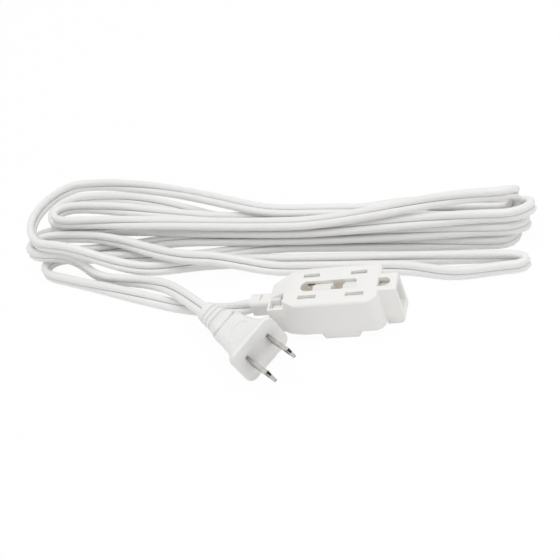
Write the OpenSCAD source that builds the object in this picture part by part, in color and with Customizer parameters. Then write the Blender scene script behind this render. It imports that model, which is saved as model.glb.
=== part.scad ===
// Household extension cord: flat twin cord in a wound hank, a two-blade plug
// and a three-outlet tap with a sliding tamper guard.
// Units are millimetres. X runs along the tap from the cord to the end piece,
// Y to its far side, Z up. The origin is under the middle of the tap.

/* [Tap] */
// Length of the tap over the strain relief and the end piece
tap_len = 67; // [64:0.5:72]
// Width of the tap
tap_w = 23; // [22.6:0.2:26]
// Height of the tap over the outlet boss
tap_h = 20.8; // [20.4:0.2:24]
// How far the outlet boss stands out under the tap
boss_h = 3.2; // [2.4:0.2:3.6]
// Length of the outlet boss
boss_l = 19.4; // [16:0.1:21]
// How far the boss stands right of the middle between the top outlets
boss_shift = 0.7; // [0:0.1:1.2]
// How far the ends of the boss slope in
boss_slope = 2.2; // [1:0.1:2.6]
// Side wall of the moulded covers
side_wall = 1.4; // [1.2:0.1:1.6]
// Top wall over the shutter
top_wall = 1.5; // [1.2:0.1:1.8]
// Radius of the upright corners beside the end piece
corner_r = 5; // [3:0.5:6]
// Radius of the top edges
edge_r = 1.5; // [0.6:0.1:1.5]
// How far the ramp falls towards the strain relief
ramp_drop = 2.9; // [2.2:0.1:3.1]
// How far the underside rises towards the strain relief
under_rise = 1.4; // [0.8:0.1:1.5]
// Thickness of the bottom cover
bottom_wall = 2; // [1.6:0.1:2.4]

/* [Outlets] */
// Distance between the two outlets on top, as a share of the body's length
pitch_share = 0.431; // [0.42:0.001:0.44]
// How far the top outlets stand right of the body's middle
outlet_shift = 3.9; // [3.6:0.1:4.2]
// Distance between the two slots of an outlet
slot_gap = 12.7; // [12.4:0.1:13]
// Width of a slot
slot_w = 2.2; // [1.9:0.1:2.4]
// Length of the hot slot
hot_l = 7.3; // [6.8:0.1:7.8]
// Length of the neutral slot
neutral_l = 8.2; // [8:0.1:8.6]

/* [Pocket and shutter] */
// Width of the pocket between the slots
pocket_w = 5.6; // [5.2:0.1:6]
// How far the pocket runs left of the left outlet's middle
pocket_out = 3.9; // [3.6:0.1:4.2]
// How far it ends left of the right outlet's middle
pocket_back = 0.2; // [0:0.1:1]
// Width of the shutter's bar in the pocket
bar_w = 3; // [3:0.1:3.4]
// Play of the shutter on each side
play = 0.15; // [0.1:0.01:0.2]
// Thickness of the shutter plate
plate_t = 1.15; // [0.9:0.05:1.3]
// Length of the round ended hole
dhole_l = 5.6; // [5:0.1:6]
// How far the square hole starts left of the middle between the outlets
square_back = 0.5; // [0:0.1:1.2]
// Length of the square hole
square_l = 5.2; // [4.6:0.1:5.6]
// Depth of both holes below the top
hole_deep = 6; // [5:0.1:7]

/* [End piece and strain relief] */
// Length of the end piece
end_l = 7.3; // [6.6:0.1:8]
// Width of the end piece
end_w = 9.8; // [9:0.1:11]
// How far the end piece stays below the top
end_drop = 0.4; // [0.2:0.1:0.8]
// Width of its mouth
mouth_w = 6.4; // [5.6:0.1:6.8]
// Bottom of its mouth
mouth_z0 = 6.2; // [5.4:0.1:7]
// Distance from the top of the tap to the top of its mouth
mouth_drop = 2.3; // [2:0.1:3]
// How far the insulator stays back in the mouth
nose_back = 4.3; // [3:0.1:5]
// Length of the strain relief barrel outside the cover
neck_l = 10.5; // [8:0.5:12]
// Width of the strain relief barrel
neck_w = 7.4; // [7:0.1:7.6]
// Height of the strain relief barrel
neck_t = 8.6; // [8.2:0.1:9]
// How far the strain relief stands above the middle of the hollow
neck_lift = 0.9; // [0.7:0.1:1]
// Length of the slit across the barrel
slit_l = 3.6; // [3:0.1:4.4]

/* [Latch] */
// Length of the latch window
latch_l = 5.3; // [5:0.1:5.5]
// Width of the latch window
latch_w = 5.4; // [5:0.1:5.4]
// Rim round the latch window
latch_rim = 0.9; // [0.8:0.1:1]
// Depth of the latch tongue below its window
tongue_drop = 3; // [2.6:0.1:3.2]
// Thickness of the tongue's head
tongue_t = 1; // [0.8:0.1:1.2]

/* [Contacts] */
// Thickness of the contact strip
strip_t = 0.6; // [0.5:0.05:0.7]
// Width of the contact strip
strip_w = 5; // [4.6:0.1:5.2]
// Strip past the middle of the outlet at either end
strip_end = 4.6; // [4.4:0.1:4.8]
// Length of a contact leaf along the strip
leaf_l = 7; // [6:0.1:7.6]
// Clearance of the leaves under the shutter
leaf_gap = 0.8; // [0.6:0.1:1]
// Clearance of the lower leaves over the bottom cover
low_gap = 1.4; // [1:0.1:1.6]
// How far a leaf's lip opens
leaf_flare = 0.5; // [0.4:0.05:0.6]
// Wall of a crimp barrel
crimp_t = 0.5; // [0.4:0.05:0.6]
// Length of a crimp barrel
crimp_l = 2.8; // [2.4:0.1:3]

/* [Cord] */
// Width of the flat twin cord
cord_w = 6.6; // [6.2:0.1:6.8]
// Thickness of the flat twin cord
cord_t = 3.3; // [3:0.1:3.3]
// Diameter of one insulated conductor
wire_d = 2.6; // [2.2:0.1:2.8]
// Diameter of the bared copper strand
strand_d = 1.2; // [1:0.05:1.4]

/* [Plug] */
// Width of the plug's face
face_w = 25.4; // [23:0.2:26]
// Height of the plug's face
face_t = 19.6; // [17:0.1:19.8]
// Thickness of the rim behind the face
rim_t = 3; // [2.4:0.1:3.6]
// Length of the plug behind its face
plug_l = 40.5; // [38:0.5:44]
// Width of the plug at the step line
step_w = 12.8; // [12:0.1:14]
// Width of the boot at its grooves
boot_w = 9.2; // [8.6:0.1:9.6]
// Height of the boot at its grooves
boot_t = 7.6; // [7:0.1:8]
// Number of ring grooves on the boot
grooves = 3; // [2:1:4]
// Distance between the ring grooves
groove_pitch = 2.7; // [2.2:0.1:2.9]
// Depth of a ring groove
groove_d = 0.6; // [0.4:0.1:0.8]
// Length of the blades
blade_l = 16.2; // [15.9:0.1:18.2]
// Thickness of the blades
blade_t = 1.5; // [1.4:0.05:1.6]
// Width of the hot blade
hot_w = 6.35; // [6.2:0.05:6.5]
// Width of the neutral blade
neutral_w = 7.9; // [7.7:0.05:8]
// Diameter of the hole in a blade
blade_hole = 3.2; // [3:0.1:4]
// Distance of that hole from the face
hole_at = 12.2; // [11:0.1:12.4]

/* [Hidden] */

$fn = 48;
e = 0.01;              // overlap of a cut past a face
fit = 0.1;             // clearance between moulded pieces

// ---- tap, derived ----
hx = tap_len / 2;
hw = tap_w / 2;
xl = -hx + neck_l;             // left wall of the body
xr = hx - end_l;               // right wall of the body
slot_y = slot_gap / 2;
outlet_pitch = (xr - xl) * pitch_share;
outlet_x = (xl + xr) / 2 + outlet_shift;
outlets = [outlet_x - outlet_pitch / 2, outlet_x + outlet_pitch / 2];
boss_x = outlet_x + boss_shift;
pocket_x0 = outlets[0] - pocket_out;
pocket_x1 = outlets[1] - pocket_back;
square_x = outlet_x - square_back;
hole_z = tap_h - hole_deep;
ramp_h = tap_h - ramp_drop;
mouth_z1 = tap_h - mouth_drop;
roof = tap_h - top_wall;       // underside of the top wall
plate_z1 = roof - play;
plate_z0 = plate_z1 - plate_t;
carrier_z1 = plate_z0 - play;
carrier_z0 = boss_h + bottom_wall;
travel = pocket_w - bar_w - 2 * (play - 0.05);
bar_y0 = -pocket_w / 2 + play - 0.05;
neck_z = (carrier_z0 + ramp_h - top_wall) / 2 + neck_lift;
latch_x = xl + latch_rim - 0.1;
latch_y = -neck_w / 2 - 0.2 - latch_w;
latch_z = ramp_h + 0.3;        // flat rim of the latch window
flange_t = 1.5;
wire_x0 = xl + side_wall + flange_t + 0.6;   // where the wires leave the strain relief
leaf_h = (plate_z0 - carrier_z0 - strip_t - leaf_gap - low_gap) / 2;
strip_z = plate_z0 - leaf_h - strip_t - leaf_gap;
strip_x0 = outlets[0] - strip_end;
strip_x1 = outlets[1] + strip_end;
tail_x = xl + 9;               // free end of the crimp tail
ramp_l = 8.5;                  // length of both ramps
crimp_r = strand_d / 2 + crimp_t;
crimp_z = strip_z + strip_t + crimp_r - 0.1;

// ---- plug, derived ----
plug_at = [-24, -27.2, 12];
plug_yaw = -38.2;
plug_roll = 13.8;
boot_x = -plug_l;
holder = [[-8.9, -2], 15.8, 8.6];   // depth from and to, width, height
tail_y = 4.6;                  // crimps stand nearer together than the blades

// ---- cord routes: x, y, z, lean of the cord's width from level ----
plug_path = [
  [-142.0, 56.8, 10.8, 90], [-149.5, 57.5, 10.8, 90], [-157.0, 57.6, 10.8, 90],
  [-163.0, 55.4, 10.8, 90], [-165.0, 51.2, 10.8, 90], [-163.0, 47.0, 10.7, 90],
  [-157.0, 44.9, 10.6, 90], [-149.0, 44.4, 10.2, 90], [-141.0, 43.4, 9.2, 90],
  [-133.5, 40.6, 6.2, 90], [-127.5, 36.4, 4.0, 90], [-120.0, 33.0, 3.4, 90],
  [-110.0, 30.8, 3.5, 86], [-100.0, 28.4, 4.1, 76], [-91.0, 25.0, 5.3, 62],
  [-82.5, 20.0, 7.4, 46], [-74.5, 13.6, 9.6, 30], [-67.6, 7.6, 11.2, 20]];
tap_path = [
  [-138.6, 49.1, 3.4, 90], [-145.5, 49.8, 3.4, 90], [-151.0, 50.0, 3.4, 90],
  [-155.6, 48.2, 3.4, 90], [-157.3, 44.2, 3.4, 90], [-155.6, 40.0, 3.4, 90],
  [-150.8, 37.2, 3.4, 90], [-143.0, 34.6, 3.4, 90], [-131.0, 30.4, 3.4, 86],
  [-118.5, 26.2, 3.4, 70], [-105.5, 21.8, 3.0, 45], [-92.0, 17.2, 2.6, 24],
  [-78.5, 12.6, 2.4, 16], [-67.0, 9.6, 2.5, 20], [-56.5, 6.8, 4.4, 34],
  [-48.0, 3.0, 8.6, 62], [-hx - 7, 0, neck_z, 86]];

// ---- hank: an oblong winding, drawn in at the waist ----
hank_at = [-172.5, 64];
hank_yaw = -5.5;
waist_u = 147;                 // where the winding is narrowest
waist_w = [2.2, 6.8, 11.4, 16];  // height of each layer at the waist
layer = 7.4;                   // rise of a layer where the cord stands on edge
floor_w = 3.4;                 // height of a cord that stands on edge on the floor
waist_lean = 15;
loose_lean = 50;               // lean of the two runs in front of the winding
front_v = -3.6;
back_v = 4.9;
run_steps = 10;
fold_steps = 8;
lev = [for (i = [0:3]) floor_w + layer * i];
flat_ends = [0, 1, 0, 1];
reach = [259.5, 5.5, 253, 19, 259, 9.5, 255, 1, 251];  // how far each fold reaches

// A run: left end [u, v, w], waist [v, w, lean], right end [u, v, w],
// then the shares of each half over which it spreads in v and climbs in w,
// and, where it has one, its side bend [u, half its length, v].
run_h = [[36, -4.5, 10.8], [-19.9, 3.4, loose_lean], [252, -19.5, 3.4], [0.36, 1, 0, 0.36],
  flat_ends, [228, 26, -3.6]];
run_g = [[24, -18, 18.4], [-14.9, 3.4, loose_lean], [252, -13.2, 3.4], [0.1, 1, 0.52, 0.96],
  flat_ends, [65, 50, -4]];
run_a = [[12, 42, 3.4], [back_v, waist_w[3], waist_lean], [247, 8.4, 10.9],
  [0, 0.92, 0.2, 0.85], flat_ends];
run_f3 = [[29, -2, 18.2], [front_v, waist_w[3], waist_lean], [247, 2, lev[3]],
  flat_ends, flat_ends];
run_b2 = [[29, 8.8, 18.2], [back_v, waist_w[2], waist_lean], [247, 12.8, 10.9],
  [0, 1, 0.3, 1], [0, 0.6, 0.5, 1]];
run_f2 = [[22, 1.5, 10.8], [front_v, waist_w[2], waist_lean], [249, -3.5, lev[2]],
  flat_ends, flat_ends];
run_b1 = [[18, 32, 3.4], [back_v, waist_w[1], waist_lean], [246, 12.8, 3.4],
  [0.08, 0.95, 0.35, 1], [0, 0.5, 0.38, 0.88]];
run_f1 = [[24, -7.2, 3.4], [front_v, waist_w[1], waist_lean], [248, -4, lev[1]],
  [0.45, 1, 0.42, 0.84], flat_ends];
run_b0 = [[24, 8.5, 3.4], [back_v, waist_w[0], waist_lean], [244, 8.2, 3.4],
  [0.2, 0.7, 0.2, 0.7], [0.12, 1, 0, 1]];
run_f0 = [[42, -11.6, 3.4], [front_v, waist_w[0], waist_lean], [245, -4.6, lev[0]],
  [0, 0.6, 0.15, 1], flat_ends];

// ---- functions ----
function smooth(t) = let (c = max(0, min(1, t))) c * c * (3 - 2 * c);
function win(t, a, b) = smooth((t - a) / (b - a));
function arc(cx, cy, r, a0, a1, n) = [for (i = [0:n]) let (a = a0 + (a1 - a0) * i / n)
  [cx + r * cos(a), cy + r * sin(a)]];
function unit(v) = v / norm(v);

// one run of the hank, from its left end to its right end
function run(r) = let (l = r[0], m = r[1], q = r[2])
  [for (i = [0:run_steps]) let (
    s = i / run_steps,
    u = l[0] + (q[0] - l[0]) * s,
    left = u < waist_u,
    far = left ? l : q,
    k = left ? r[3] : r[4],
    t = (waist_u - u) / (waist_u - far[0]),
    b = len(r) > 5 ? r[5] : [0, 1, 0],
    c = smooth(t))
    [u, m[0] + (far[1] - m[0]) * win(t, k[0], k[1]) + b[2] * smooth(1 - abs(u - b[0]) / b[1]),
     m[1] + (far[2] - m[1]) * win(t, k[2], k[3]), m[2] + (90 - m[2]) * pow(c, left ? 4 : 2)]];

// the same run laid the other way, its lean counted from the other side
function back(r) = let (p = run(r), n = len(p))
  [for (i = [n - 1:-1:0]) [p[i][0], p[i][1], p[i][2], 180 - p[i][3]]];

// half turn at an end, between the last point of a run and the first of the next
function fold(p, q, reach, n, a, b) = [for (i = [1:n - 1]) let (s = i / n, w = 180 * s)
  [p[0] + (q[0] - p[0]) * s + (reach - (p[0] + q[0]) / 2) * sin(w),
   p[1] + (q[1] - p[1]) * (1 - cos(w)) / 2,
   p[2] + (q[2] - p[2]) * win(s, a, b), 90]];

function last(p) = p[len(p) - 1];
function hank_uvw() = let (
  h = run(run_h), g = back(run_g), a = run(run_a), f3 = back(run_f3), b2 = run(run_b2),
  f2 = back(run_f2), b1 = run(run_b1), f1 = back(run_f1), b0 = run(run_b0), f0 = back(run_f0))
  concat([[29, h[0][1], h[0][2], 90]], h,
    fold(last(h), g[0], reach[0], fold_steps, 0, 1), g,
    fold(last(g), a[0], reach[1], fold_steps + 4, 0.25, 1), a,
    fold(last(a), f3[0], reach[2], fold_steps, 0, 0.6), f3,
    fold(last(f3), b2[0], reach[3], fold_steps, 0, 1), b2,
    fold(last(b2), f2[0], reach[4], fold_steps, 0, 0.8), f2,
    fold(last(f2), b1[0], reach[5], fold_steps + 2, 0.25, 1), b1,
    fold(last(b1), f1[0], reach[6], fold_steps, 0.12, 0.95), f1,
    fold(last(f1), b0[0], reach[7], fold_steps, 0, 1), b0,
    fold(last(b0), f0[0], reach[8], fold_steps, 0, 1), f0,
    [[35, last(f0)[1], last(f0)[2], 90]]);

function to_part(p) = [hank_at[0] + p[0] * cos(hank_yaw) - p[1] * sin(hank_yaw),
  hank_at[1] + p[0] * sin(hank_yaw) + p[1] * cos(hank_yaw), p[2], p[3]];
function xyz(p) = [p[0], p[1], p[2]];

// points between the chosen ones, on a smooth curve through them
function mid(a, b, c, d) = (9 * (b + c) - a - d) / 16;
function finer(p) = let (n = len(p)) [for (i = [0:2 * n - 2]) i % 2 == 0 ? p[i / 2] :
  let (k = (i - 1) / 2) mid(p[max(k - 1, 0)], p[k], p[k + 1], p[min(k + 2, n - 1)])];

// direction of travel, width and thickness at each point of a route
function travel_at(p, i) = unit(xyz(p[min(i + 1, len(p) - 1)]) - xyz(p[max(i - 1, 0)]));
function across(t, lean) = let (s = unit(cross([0, 0, 1], t)))
  s * cos(lean) + cross(t, s) * sin(lean);

// cross-section of the flat twin cord: its two cores, with or without the groove
function twin(g) = let (w = cord_w / 2, t = cord_t / 2)
  g ? [[w, 0.7], [w - 1, t], [0, t - 0.35], [1 - w, t], [-w, 0.7], [-w, -0.7], [1 - w, -t],
    [0, 0.35 - t], [w - 1, -t], [w, -0.7]]
    : [[w, 0], [w - 1.4, t], [1.4 - w, t], [-w, 0], [1.4 - w, -t], [w - 1.4, -t]];
function ring(r, n) = [for (i = [0:n - 1]) [r * cos(360 * i / n), r * sin(360 * i / n)]];

module sweep(path, section, first, end) {
  n = len(section);
  m = len(path);
  pts = [for (i = [0:m - 1]) let (
      t = i == 0 && first ? first : i == m - 1 && end ? end : travel_at(path, i),
      w = across(t, path[i][3]), h = cross(t, w))
    for (s = section) xyz(path[i]) + s[0] * w + s[1] * h];
  sides = [for (i = [0:m - 2]) for (j = [0:n - 1]) let (
      a = i * n + j, b = i * n + (j + 1) % n, c = b + n, d = a + n)
    each [[a, d, c], [a, c, b]]];
  caps = [[for (j = [0:n - 1]) j], [for (j = [n - 1:-1:0]) (m - 1) * n + j]];
  polyhedron(concat(sides, caps) == [] ? [] : pts, concat(sides, caps));
}

// least gap of the hank to itself, measured on the axes of its two cores
hank = [for (p = hank_uvw()) to_part(p)];
fine = finer(hank);
core = (cord_w - cord_t) / 2;
cores = [for (i = [0:len(fine) - 1]) let (c = xyz(fine[i]),
  w = across(travel_at(fine, i), fine[i][3]) * core) [c + w, c - w, c]];
run_on = [for (i = 0, s = 0; i < len(fine); i = i + 1,
  s = s + (i < len(fine) ? norm(xyz(fine[i]) - xyz(fine[i - 1])) : 0)) s];
gaps = [for (i = [0:len(cores) - 1]) for (j = [i + 6:1:len(cores) - 1])
  if (run_on[j] - run_on[i] > 25 && norm(cores[i][2] - cores[j][2]) < 9)
    [min([for (a = cores[i]) for (b = cores[j]) norm(a - b)]) - cord_t, i, j]];
least = min([for (g = gaps) g[0]]);
echo(hank_length = last(run_on), hank_least_gap = least,
  where = [for (g = gaps) if (g[0] < 0.5) [g[0], fine[g[1]], fine[g[2]]]]);

// ---- tap ----
module rrect(l, w, r) {
  square([l - 2 * r, w], center = true);
  square([l, w - 2 * r], center = true);
  for (x = [-1, 1]) for (y = [-1, 1]) translate([x * (l / 2 - r), y * (w / 2 - r)]) circle(r);
}

// plan of the body, drawn in by a wall
module plan(in) {
  y = hw - in;
  polygon([[xl + in, -y + 3.9], [xl + 6 + in / 2, -y + 1.2], [xl + 13, -y],
    [xr - corner_r, -y], [xr - corner_r, y], [xl + 13, y],
    [xl + 6 + in / 2, y - 1.2], [xl + in, y - 3.9]]);
  translate([xr - corner_r - e, corner_r - hw]) square([corner_r - in + e, tap_w - 2 * corner_r]);
  for (s = [-1, 1]) translate([xr - corner_r, s * (hw - corner_r)]) circle(corner_r - in);
}

// side view of the body with the ramp towards the strain relief
module side_view(top, low, r, under) {
  polygon(concat(under ? [[xl - 1, under_z(xl - 1)], [xl + ramp_l, boss_h - e], [xl + ramp_l, 0]]
      : [[xl - 1, 0]], [[xr + 1, 0], [xr + 1, top - r]], arc(xr + 1 - r, top - r, r, 0, 90, 5),
    [[xl + ramp_l, top], [xl, low], [xl - 1, low - 0.3]]));
}

// height of the underside along the tap
function under_z(x) = boss_h + under_rise * max(0, xl + ramp_l - x) / ramp_l;

module end_view(w, top, r) {
  polygon(concat([[-w, 0], [w, 0]], arc(w - r, top - r, r, 0, 90, 5),
    arc(r - w, top - r, r, 90, 180, 5)));
}

// outside of the body for in = 0, the hollow inside it for in = side_wall
module body_form(in, z0, top, low, r) {
  difference() {
    intersection() {
      translate([0, 0, z0]) linear_extrude(top - z0) plan(in);
      translate([in > 0 ? 0 : -1, hw, 0]) rotate([90, 0, 0]) linear_extrude(tap_w)
        side_view(top, low, r, in == 0);
      translate([xl - 2, 0, 0]) rotate([90, 0, 90]) linear_extrude(xr - xl + 4)
        end_view(hw - in, top, r);
    }
    for (s = [-1, 1]) scale_y(s) translate([xl + 13, hw - in * 1.2, tap_h])
      rotate([15, 0, 30]) translate([-40, 0, -30]) cube([60, 20, 40]);
  }
}

module scale_y(s) { if (s > 0) children(); else mirror([0, 1, 0]) children(); }

module slots(z0, h, grow) {
  for (x = outlets) {
    translate([x - hot_l / 2 - grow, slot_y - slot_w / 2, z0]) cube([hot_l + 2 * grow, slot_w, h]);
    translate([x - neutral_l / 2 - grow, -slot_y - slot_w / 2, z0])
      cube([neutral_l + 2 * grow, slot_w, h]);
  }
}

module dhole(z0, h, grow) {
  r = pocket_w / 2 + grow;
  translate([pocket_x0 + pocket_w / 2, 0, z0]) {
    cylinder(h = h, r = r);
    translate([0, -r, 0]) cube([dhole_l - pocket_w / 2 + grow, 2 * r, h]);
  }
}

module pocket(z0, h) {
  dhole(z0, h, 0);
  translate([pocket_x0 + dhole_l - e, -pocket_w / 2, z0])
    cube([pocket_x1 - pocket_x0 - dhole_l - 1, pocket_w, h]);
  translate([pocket_x1 - 1.1, -pocket_w / 2, z0]) cube([1.1, pocket_w - 1, h]);
  translate([pocket_x1 - 1, pocket_w / 2 - 1, z0]) cylinder(h = h, r = 1);
}

module latch_hole(z0, h, less) {
  translate([latch_x + less, latch_y + less, z0]) cube([latch_l - 2 * less, latch_w - 2 * less, h]);
}

module end_block() {
  top = tap_h - end_drop;
  translate([0, end_w / 2, 0]) rotate([90, 0, 0]) linear_extrude(end_w)
    polygon(concat([[xr - 0.7, 0]], arc(hx - 3, 3, 3, -90, 0, 6), arc(hx - 0.8, top - 0.8, 0.8, 0, 90, 3),
      [[xr - 0.7, top]]));
}

module end_hole(z0, h) {
  translate([xr - 0.9, -2.5, z0]) cube([2.8, 5, h]);
  translate([xr + 1.9, 0, z0]) cylinder(h = h, r = 2.5);
}

module neck_form(x0, x1, less) {
  translate([x0, 0, neck_z]) rotate([90, 0, 90]) linear_extrude(x1 - x0)
    rrect(neck_w - 2 * less, neck_t - 2 * less, 2);
}

module tap_top_cover() {
  color("#f4f3f0") difference() {
    union() {
      body_form(0, boss_h, tap_h, ramp_h, edge_r);
      translate([xl - 0.1, latch_y - latch_rim, under_z(xl)])
        cube([latch_l + 2 * latch_rim, latch_w + 2 * latch_rim, latch_z - under_z(xl)]);
      end_block();
    }
    translate([xl - 1, latch_y - latch_rim, latch_z])
      cube([latch_l + 2 * latch_rim + 0.9, latch_w + 2 * latch_rim, tap_h]);
    body_form(side_wall, 0, roof, ramp_h - top_wall, 0.3);
    translate([xr - side_wall - e, -mouth_w / 2, mouth_z0])
      cube([end_l + side_wall + 1, mouth_w, mouth_z1 - mouth_z0]);
    end_hole(mouth_z1 - 1, 5);
    slots(roof - 1, 4, 0);
    pocket(roof - 1, 4);
    latch_hole(boss_h - 1, tap_h, 0);
    neck_form(xl - 1, xl + side_wall + 1, 0);
  }
}

// side view of the outlet boss, with sloped ends
module boss_view() {
  l = boss_l / 2;
  polygon([[boss_x - l, boss_h + e], [boss_x - l + 0.3, boss_h - 0.8], [boss_x - l + boss_slope, 0],
    [boss_x + l - boss_slope, 0], [boss_x + l - 0.3, boss_h - 0.8], [boss_x + l, boss_h + e]]);
}

module tap_bottom_cover() {
  color("#eceae6") difference() {
    union() {
      intersection() {
        translate([0, 0, boss_h]) linear_extrude(bottom_wall) plan(side_wall + fit);
        rotate([90, 0, 0]) linear_extrude(tap_w, center = true) side_view(tap_h, tap_h, e, true);
      }
      intersection() {
        translate([boss_x, 0, 0]) linear_extrude(boss_h) rrect(boss_l, tap_w - 0.2, 3);
        rotate([90, 0, 0]) linear_extrude(tap_w, center = true) boss_view();
      }
      latch_hole(latch_z - tongue_drop - tongue_t, tongue_t, fit);
      translate([latch_x + fit, latch_y + latch_w / 2, carrier_z0 - e])
        cube([2.4, latch_w / 2 - fit, latch_z - tongue_drop - carrier_z0]);
    }
    translate([boss_x - hot_l / 2, slot_y - slot_w / 2, -1]) cube([hot_l, slot_w, 9]);
    translate([boss_x - neutral_l / 2, -slot_y - slot_w / 2, -1]) cube([neutral_l, slot_w, 9]);
    slots(boss_h + 0.8, 9, 0.2);
  }
}

// plan of the shutter's bar, one corner round like the pocket's
module bar() {
  x0 = pocket_x0 + dhole_l + fit;
  x1 = pocket_x1 - fit;
  translate([x0, bar_y0]) square([x1 - x0, bar_w - 0.9]);
  translate([x0, bar_y0]) square([x1 - x0 - 0.9, bar_w]);
  translate([x1 - 0.9, bar_y0 + bar_w - 0.9]) circle(0.9);
}

module shutter_plate() {
  y = slot_y + slot_w / 2;
  color("#e6e4df") difference() {
    union() {
      translate([outlets[0] - neutral_l / 2 - 1.2, -y, plate_z0])
        cube([outlet_pitch + neutral_l + 2.4, 2 * y + 0.1, plate_t]);
      translate([0, 0, plate_z0]) linear_extrude(tap_h - 0.05 - plate_z0) bar();
    }
    for (x = outlets) translate([x - hot_l / 2 - 0.3, slot_y - travel - slot_w / 2, plate_z0 - 1])
      cube([hot_l + 0.6, slot_w, 4]);
    dhole(plate_z0 - 1, 4, 0.1);
    translate([square_x, -pocket_w / 2, plate_z0 - 1]) cube([square_l, pocket_w, 9]);
  }
}

module channel(y, x0, x1, w, z0, z1) {
  translate([x0, y - w / 2, z0]) cube([x1 - x0, w, z1 - z0]);
}

module contact_carrier() {
  ledge = strip_w - 0.8;
  nose_z1 = mouth_z1 - 1.6;
  nose_x = xr - side_wall - fit / 2;
  color("#d8b98a") difference() {
    union() {
      intersection() {
        body_form(side_wall + fit, carrier_z0, carrier_z1, carrier_z1, 0.3);
        translate([tail_x, -hw, 0]) cube([tap_len, tap_w, tap_h]);
      }
      translate([nose_x, fit - mouth_w / 2, mouth_z0 + fit])
        cube([hx - nose_back - nose_x, mouth_w - 2 * fit, nose_z1 - mouth_z0 - fit]);
      translate([nose_x - 1, fit - mouth_w / 2, mouth_z0 + fit])
        cube([1.5, mouth_w - 2 * fit, nose_z1 - mouth_z0 - fit]);
    }
    for (s = [-1, 1]) {
      channel(s * slot_y, strip_x0 - 0.3, strip_x1 + 0.3, strip_w + 2 * fit, strip_z, tap_h);
      channel(s * slot_y, strip_x0 - 0.3, strip_x1 + 0.3, ledge, carrier_z0 - 1, tap_h);
      channel(s * slot_y, tail_x - 1, strip_x0, 2 * crimp_r + 0.6, strip_z, tap_h);
    }
    dhole(hole_z, tap_h, -0.2);
    translate([square_x + 0.2, 0.2 - pocket_w / 2, hole_z]) cube([square_l - 0.4, pocket_w - 0.4, tap_h]);
    translate([hx - nose_back - 1.5, -mouth_w / 2 + 1.2, mouth_z0 + 2])
      cube([4, mouth_w - 2.4, nose_z1 - mouth_z0 - 4]);
  }
}

// one leaf of a contact, side view, from the strip to its flared lip
module leaf(s) {
  g = blade_t / 2;
  w = g + leaf_flare;
  rotate([90, 0, 90]) translate([0, 0, -leaf_l / 2]) linear_extrude(leaf_l)
    polygon([[s * w, 0], [s * w, leaf_h * 0.16], [s * (g - 0.05), leaf_h * 0.68],
      [s * w, leaf_h], [s * (w + strip_t), leaf_h * 0.98],
      [s * (g - 0.05 + strip_t), leaf_h * 0.7], [s * (w + strip_t), leaf_h * 0.18],
      [s * (w + strip_t), 0]]);
}

module contact(y) {
  slit = blade_t + 2 * leaf_flare;
  slit_x = leaf_l + 0.6;
  difference() {
    union() {
      translate([strip_x0, y - strip_w / 2, strip_z]) cube([strip_x1 - strip_x0, strip_w, strip_t]);
      translate([tail_x, y - crimp_r, strip_z]) cube([strip_x0 - tail_x + e, 2 * crimp_r, strip_t]);
      translate([tail_x, y, crimp_z]) rotate([0, 90, 0]) cylinder(h = crimp_l, r = crimp_r);
    }
    for (x = concat(outlets, boss_x)) translate([x - slit_x / 2, y - slit / 2, strip_z - strip_t])
      cube([slit_x, slit, 3 * strip_t]);
    translate([tail_x - crimp_l, y, crimp_z]) rotate([0, 90, 0])
      cylinder(h = 3 * crimp_l, r = strand_d / 2);
  }
  for (x = outlets) for (s = [-1, 1]) translate([x, y, strip_z + strip_t - e]) leaf(s);
  for (s = [-1, 1]) translate([boss_x, y, strip_z + e]) mirror([0, 0, 1]) leaf(s);
}

module contact_hot() { color("#c9a24a") contact(slot_y); }
module contact_neutral() { color("#c9a24a") contact(-slot_y); }

module tap_wire(side) {
  z = neck_z + side * core;
  y = side * slot_y;
  run = tail_x - 1.4 - wire_x0;
  sweep([[-hx, 0, z, 0], [wire_x0, 0, z, 0], [wire_x0 + run * 0.22, y * 0.12, z + (crimp_z - z) * 0.2, 0],
    [wire_x0 + run * 0.76, y * 0.72, crimp_z - (crimp_z - z) * 0.1, 0], [tail_x - 1.4, y, crimp_z, 0],
    [tail_x - 0.2, y, crimp_z, 0]], ring(wire_d / 2, 8), [1, 0, 0], [1, 0, 0]);
}

module tap_wire_hot() { color("#ffffff") tap_wire(1); }
module tap_wire_neutral() { color("#ffffff") tap_wire(-1); }

module tap_strand(side) {
  translate([tail_x - 0.2, side * slot_y, crimp_z]) rotate([0, 90, 0])
    cylinder(h = crimp_l + 0.6, r = strand_d / 2);
}

module tap_strand_hot() { color("#b8703a") tap_strand(1); }
module tap_strand_neutral() { color("#b8703a") tap_strand(-1); }

module cord_grip() {
  x1 = xl + side_wall + fit;
  color("#efeeea") difference() {
    union() {
      neck_form(-hx, x1 + 0.5, fit);
      translate([x1, fit - neck_w / 2, carrier_z0 + 0.2])
        cube([flange_t, neck_w - 2 * fit, neck_z + neck_t / 2 - 0.9 - carrier_z0]);
      translate([x1, fit - neck_w / 2, carrier_z0 + 0.2])
        cube([flange_t, neck_w + 1, neck_z - carrier_z0 - 1.5]);
    }
    for (s = [-1, 1]) translate([-hx - 1, 0, neck_z + s * core]) rotate([0, 90, 0])
      cylinder(h = neck_l + 9, r = wire_d / 2 + 0.05);
    translate([-hx + 4.2, -slit_l / 2 - 0.2, neck_z + neck_t / 2 - 1.2]) cube([1.1, slit_l, 3]);
  }
}

// ---- plug, in its own frame: blades along +X, width along Y ----
module at_plug() {
  translate(plug_at) rotate([plug_roll, 0, plug_yaw]) children();
}

function section(w, t, r, n) = let (k = min(r, w - 0.01, t - 0.01)) concat(
  arc(w - k, t - k, k, 0, 90, n), arc(k - w, t - k, k, 90, 180, n),
  arc(k - w, k - t, k, 180, 270, n), arc(w - k, k - t, k, 270, 360, n));

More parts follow.
